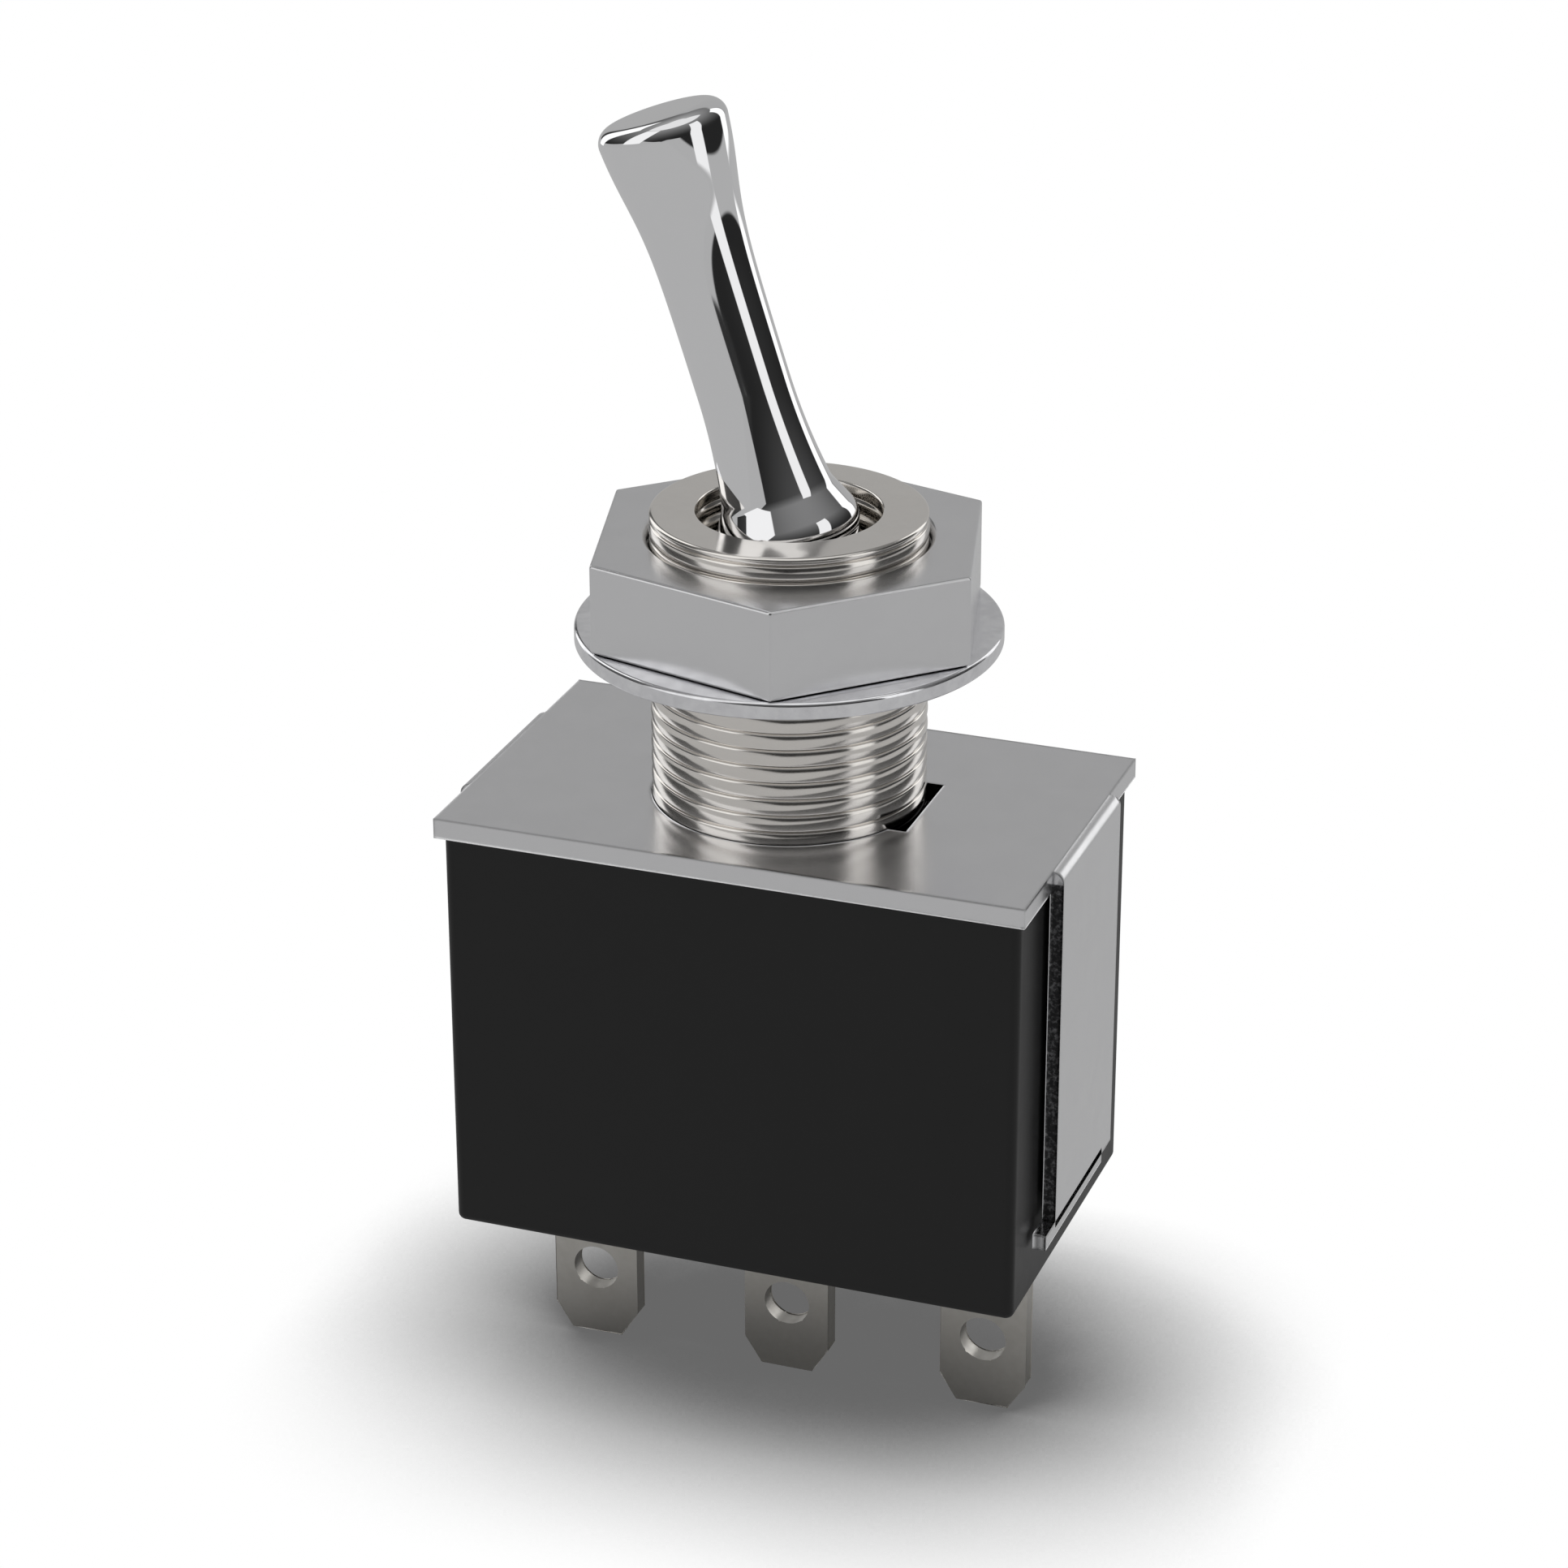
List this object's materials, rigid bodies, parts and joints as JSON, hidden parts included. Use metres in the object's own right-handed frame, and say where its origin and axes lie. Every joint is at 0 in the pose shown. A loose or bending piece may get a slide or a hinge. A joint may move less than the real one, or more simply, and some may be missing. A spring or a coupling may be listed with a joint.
{
  "type": "panel toggle switch",
  "caption": "Panel-mount toggle switch with a flared metal lever, threaded bushing, hex nut, washer, steel bracket, black case and eyelet terminals.",
  "frame": {"origin": "on the bushing's axis, in the plane of the bracket's top face, where the panel's rear face lies", "axes": "+Z along the bushing out of the panel, X along the row of terminals with the lever leaning to -X at rest, +Y away from the viewer's side"},
  "size_m": [0.0138, 0.0092, 0.0297],
  "materials": {
    "chromed": "mirror chrome plating",
    "nickel": "bright nickel plating on a turned part",
    "bracket_steel": "satin zinc-plated pressed steel",
    "nut_steel": "satin nickel-plated steel",
    "washer_steel": "bright zinc-plated steel",
    "black_plastic": "fine satin thermoset moulding",
    "black_card": "matt black insulating card",
    "sealant": "dark casting resin",
    "plated_brass": "dull silver plating on brass",
    "bare_brass": "plain brass strip",
    "contact_metal": "silver-plated contact rivet",
    "hard_steel": "ground steel pin",
    "spring_steel": "bright spring wire",
    "white_nylon": "natural nylon"
  },
  "bodies": {
    "housing": {"bushing": "nickel", "bracket": "bracket_steel", "case": "black_plastic", "insulator": "black_card", "terminal_seal": "sealant", "common_terminal": "plated_brass", "left_terminal": "plated_brass", "right_terminal": "plated_brass", "pivot_saddle": "bare_brass", "left_fixed_contact": "contact_metal", "right_fixed_contact": "contact_metal"},
    "lever": {"lever": "chromed", "pivot_pin": "hard_steel", "plunger_spring": "spring_steel"},
    "plunger": {"plunger": "white_nylon"},
    "rocker": {"rocker": "bare_brass", "left_moving_contact": "contact_metal", "right_moving_contact": "contact_metal"},
    "washer": {"washer": "washer_steel"},
    "nut": {"hex_nut": "nut_steel"}
  },
  "joints": [
    {"name": "lever_tilt", "type": "hinge", "parent": "housing", "child": "lever", "pos_m": [0, 0, 0.006], "axis": [0, 1, 0], "range_deg": [0, 36.4]},
    {"name": "plunger_slide", "type": "slide", "parent": "lever", "child": "plunger", "axis": [-0.3123, 0, 0.95], "range_m": [0, 0.00035], "stiffness_N_per_m": 300, "springref_m": -0.002, "deforming": ["plunger_spring"]},
    {"name": "rocker_tilt", "type": "hinge", "parent": "housing", "child": "rocker", "pos_m": [0, 0, -0.00444], "axis": [0, 1, 0], "range_deg": [-16, 0]},
    {"name": "washer_travel", "type": "slide", "parent": "housing", "child": "washer", "axis": [0, 0, 1], "range_m": [-0.00356, 0.002]},
    {"name": "nut_turn", "type": "hinge", "parent": "washer", "child": "nut", "pos_m": [0, 0, 0.004], "axis": [0, 0, 1], "range_deg": [-3329, 1871]}
  ],
  "couplings": [
    {"joint": "rocker_tilt", "follows": "lever_tilt", "ratio": -0.43956},
    {"joint": "nut_turn", "follows": "washer_travel", "rad_per_m": 16320}
  ]
}
